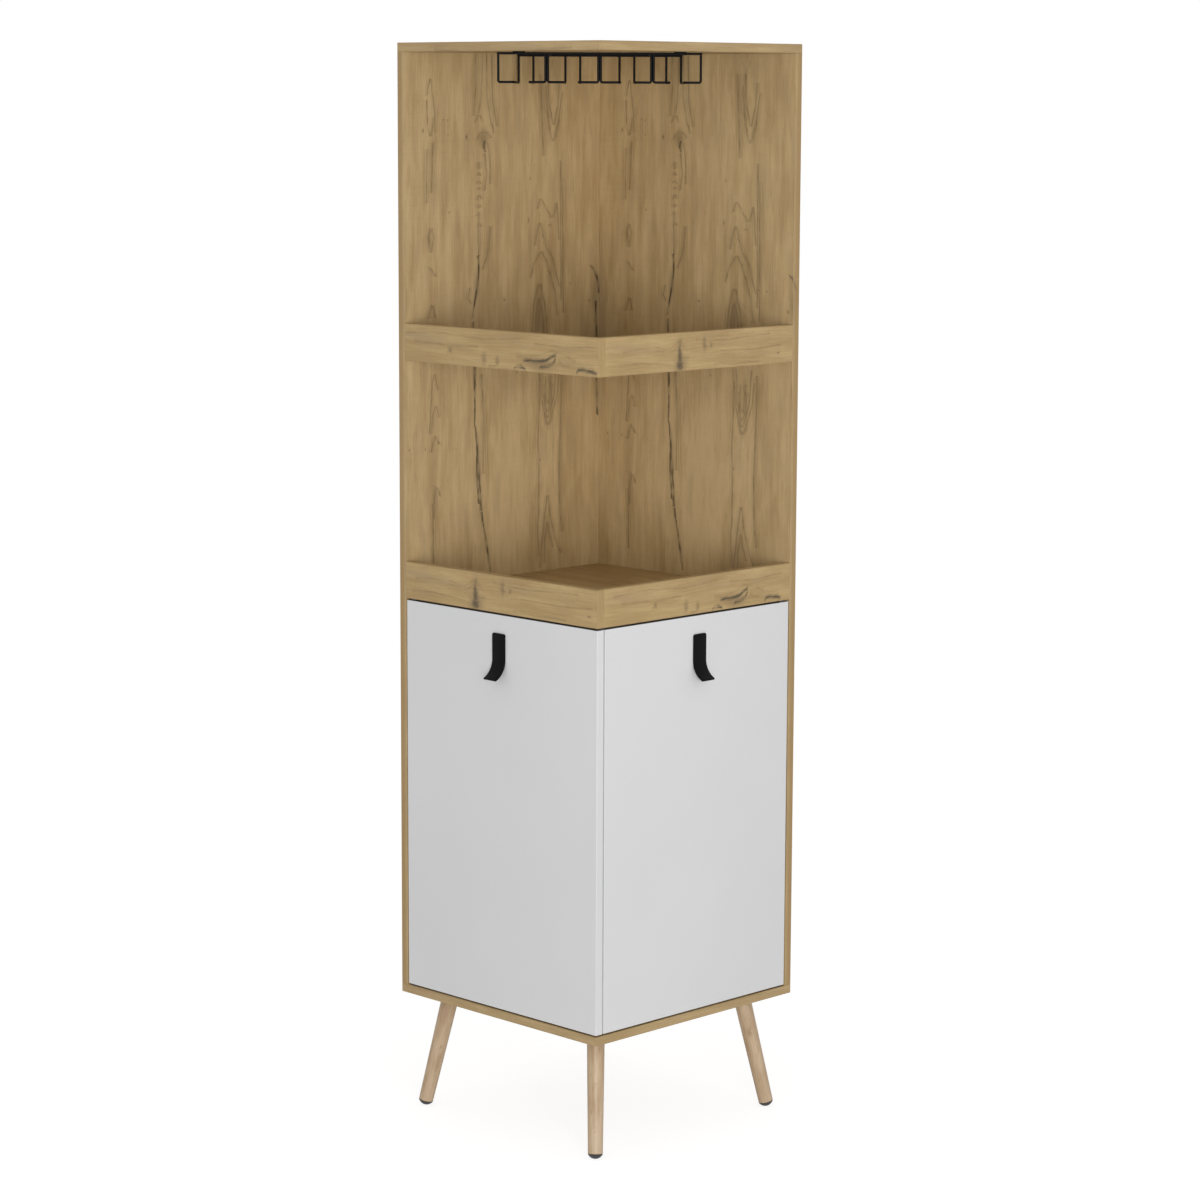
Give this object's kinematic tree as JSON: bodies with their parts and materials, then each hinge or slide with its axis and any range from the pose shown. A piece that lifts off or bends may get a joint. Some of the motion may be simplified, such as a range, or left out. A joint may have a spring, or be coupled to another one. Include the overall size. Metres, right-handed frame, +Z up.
{
  "type": "corner bar cabinet",
  "caption": "Tall square corner bar cabinet: open railed shelves, wire stemware rack under the top, cupboard with inset doors meeting at the front corner, splayed turned legs.",
  "frame": {"origin": "middle of the overall box on the floor, pulls included", "axes": "+Z up; the room's corner is at -X and +Y, the left door faces -Y and the right door faces +X"},
  "size_m": [0.5034, 0.5034, 1.84],
  "materials": {
    "oak_board": "oak-print laminate, satin",
    "white_board": "white laminate, matt",
    "leg_wood": "turned hardwood, clear satin",
    "dowel_wood": "bare",
    "pull_black": "black satin",
    "wire_black": "black satin",
    "screw_black": "black",
    "glide_black": "matt",
    "plate_steel": "zinc plated",
    "screw_steel": "zinc plated",
    "strike_steel": "zinc plated",
    "cam_zinc": "die-cast zinc",
    "bush_nylon": "black nylon",
    "catch_white": "white",
    "magnet_dark": "ferrite"
  },
  "bodies": {
    "carcass": {"base_panel": "oak_board", "cam_bolts": "screw_steel", "cam_locks": "cam_zinc", "catch_magnets": "magnet_dark", "catch_screws": "screw_steel", "counter_rail_left": "oak_board", "counter_rail_right": "oak_board", "counter_shelf": "oak_board", "dowels": "dowel_wood", "glide_back": "glide_black", "glide_front": "glide_black", "glide_left": "glide_black", "glide_right": "glide_black", "hanger_bolts": "screw_steel", "inner_shelf": "oak_board", "joining_screws": "screw_steel", "left_catch": "catch_white", "left_wall": "oak_board", "leg_back": "leg_wood", "leg_front": "leg_wood", "leg_left": "leg_wood", "leg_plate_back": "plate_steel", "leg_plate_front": "plate_steel", "leg_plate_left": "plate_steel", "leg_plate_right": "plate_steel", "leg_plate_screws": "screw_steel", "leg_right": "leg_wood", "pivot_bushes": "bush_nylon", "rack_front_bar": "wire_black", "rack_rear_bar": "wire_black", "rack_runner_1": "wire_black", "rack_runner_2": "wire_black", "rack_runner_3": "wire_black", "rack_runner_4": "wire_black", "rack_runner_5": "wire_black", "rack_runner_6": "wire_black", "rack_runner_7": "wire_black", "rack_runner_8": "wire_black", "rack_screws": "screw_black", "rack_tabs": "wire_black", "right_catch": "catch_white", "right_wall": "oak_board", "top_panel": "oak_board", "upper_rail_left": "oak_board", "upper_rail_right": "oak_board", "upper_shelf": "oak_board"},
    "left_door": {"left_door": "white_board", "left_pull": "pull_black", "left_pull_screws": "screw_steel", "left_pivot_pins": "screw_steel", "left_strike": "strike_steel", "left_strike_screws": "screw_steel"},
    "right_door": {"right_door": "white_board", "right_pull": "pull_black", "right_pull_screws": "screw_steel", "right_pivot_pins": "screw_steel", "right_strike": "strike_steel", "right_strike_screws": "screw_steel"}
  },
  "joints": [
    {"name": "left_door_swing", "type": "hinge", "parent": "carcass", "child": "left_door", "pos_m": [-0.22173, -0.22077, 0.56], "axis": [0, 0, -1], "range_deg": [0, 115]},
    {"name": "right_door_swing", "type": "hinge", "parent": "carcass", "child": "right_door", "pos_m": [0.22077, 0.22173, 0.56], "axis": [0, 0, 1], "range_deg": [0, 115]}
  ]
}
